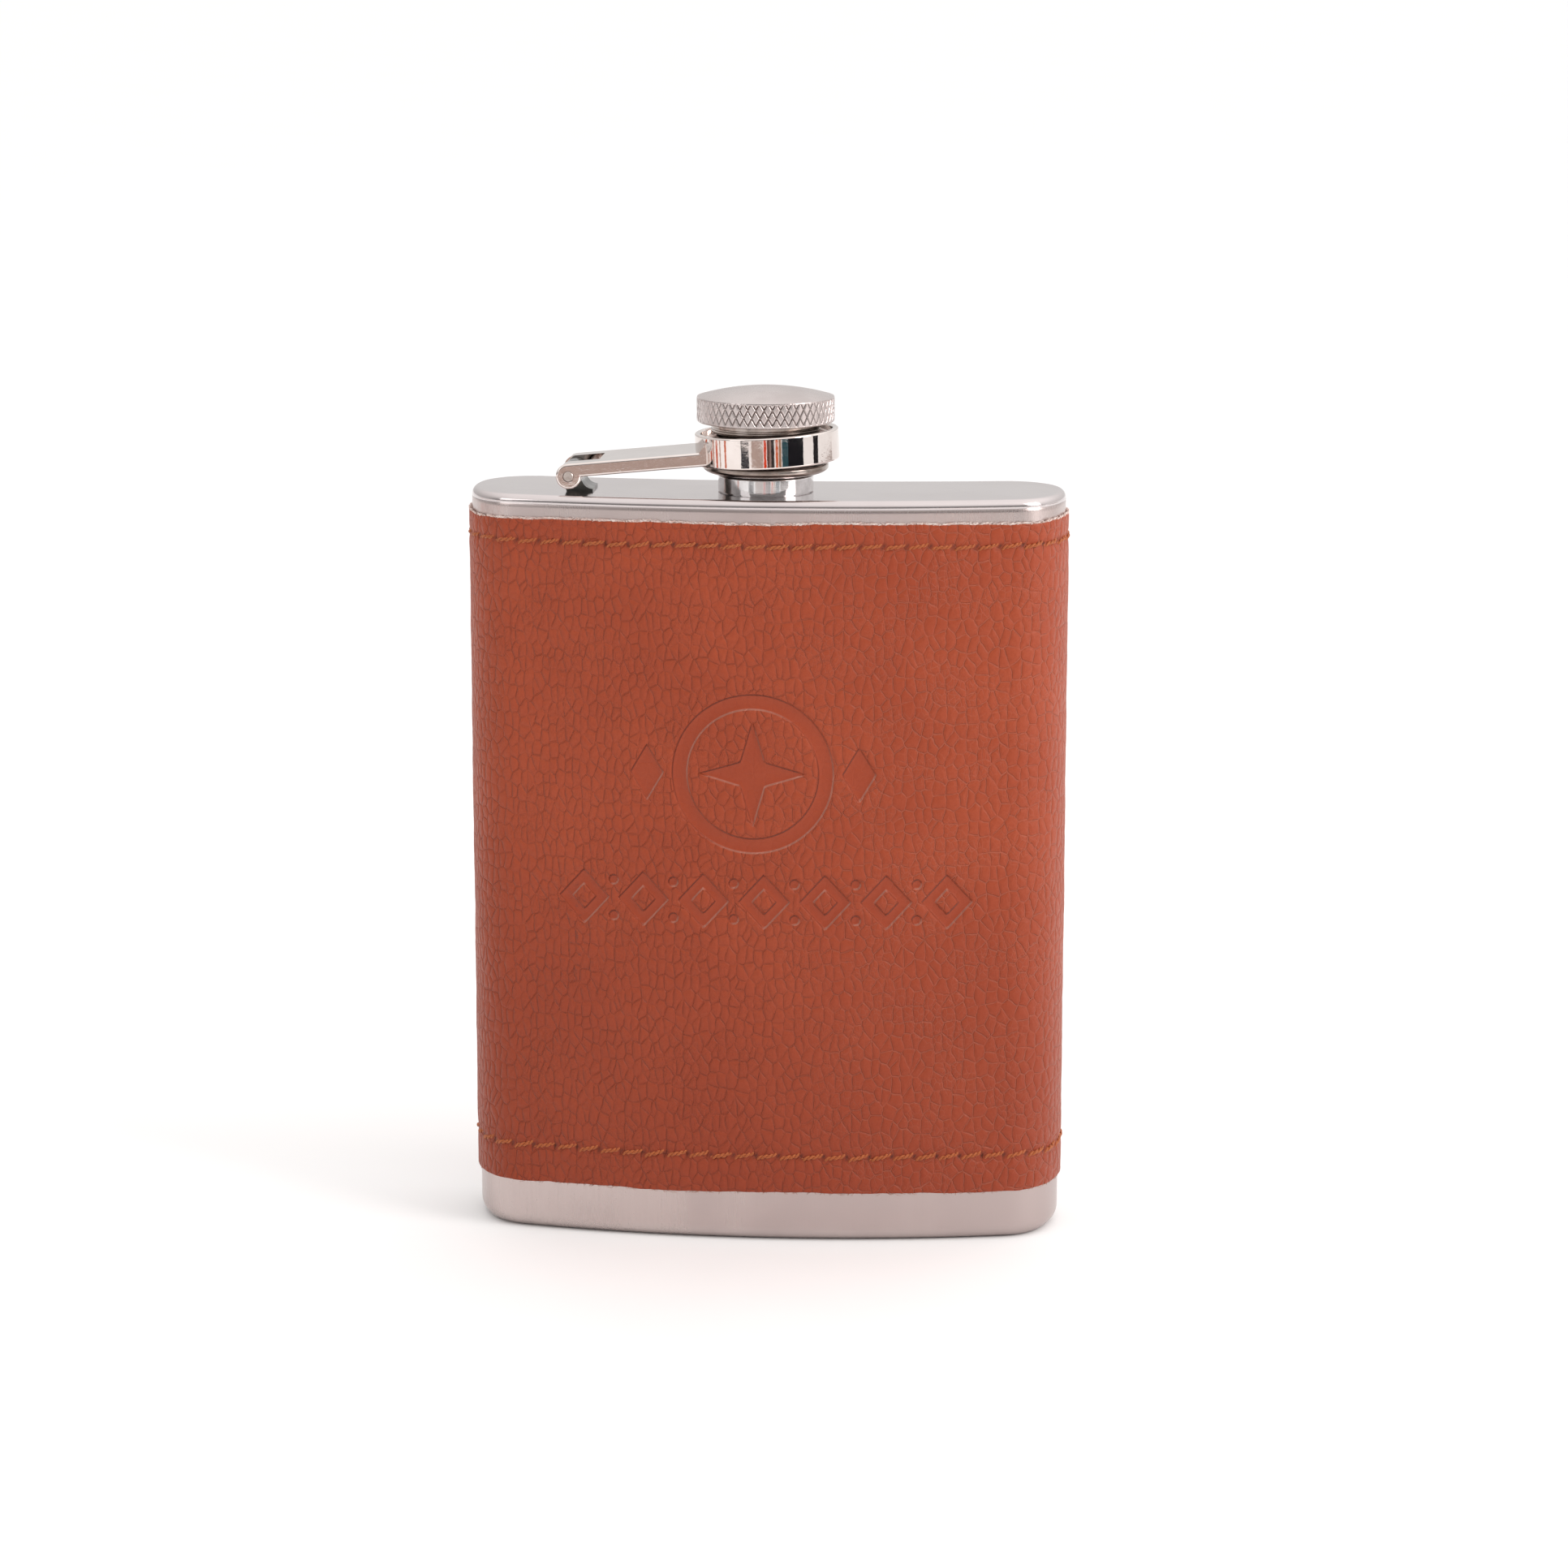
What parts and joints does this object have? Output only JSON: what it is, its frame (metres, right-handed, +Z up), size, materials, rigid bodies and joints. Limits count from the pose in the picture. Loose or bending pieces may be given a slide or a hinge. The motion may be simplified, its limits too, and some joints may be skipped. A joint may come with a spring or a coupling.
{
  "type": "hip flask",
  "caption": "Curved steel hip flask with a stitched leather sleeve and a knurled screw cap held captive on a hinged arm.",
  "frame": {"origin": "on the base face, straight under the neck axis", "axes": "+Z up along the neck, -Y out of the convex front face, the hinge stands toward -X"},
  "size_m": [0.0956, 0.0281, 0.1359],
  "materials": {
    "body_steel": "satin",
    "neck_steel": "bright turned",
    "chromed_steel": "polished",
    "cap_steel": "satin, knurled band",
    "gasket": "matt",
    "leather": "pebbled tan",
    "thread": "waxed thread"
  },
  "bodies": {
    "flask": {"body_shell": "body_steel", "bottom_plate": "body_steel", "top_plate": "body_steel", "spout_neck": "neck_steel", "hinge_bracket": "chromed_steel", "hinge_pin": "chromed_steel", "leather_wrap": "leather", "top_stitching": "thread", "bottom_stitching": "thread"},
    "arm": {"captive_arm": "chromed_steel"},
    "seal": {"cap_gasket": "gasket"},
    "cap": {"cap_head": "cap_steel", "cap_sleeve": "chromed_steel"}
  },
  "joints": [
    {"name": "arm_swing", "type": "hinge", "parent": "flask", "child": "arm", "pos_m": [-0.0304, 0, 0.12225], "axis": [0, -1, 0], "range_deg": [0, 165]},
    {"name": "cap_lift", "type": "slide", "parent": "arm", "child": "seal", "axis": [0, 0, 1], "range_m": [0, 0.0019]},
    {"name": "cap_turn", "type": "hinge", "parent": "seal", "child": "cap", "pos_m": [0, 0, 0.1195], "axis": [0, 0, 1], "range_deg": [0, 540]}
  ],
  "couplings": [
    {"joint": "cap_lift", "follows": "cap_turn", "m_per_rad": 0.00019894}
  ]
}
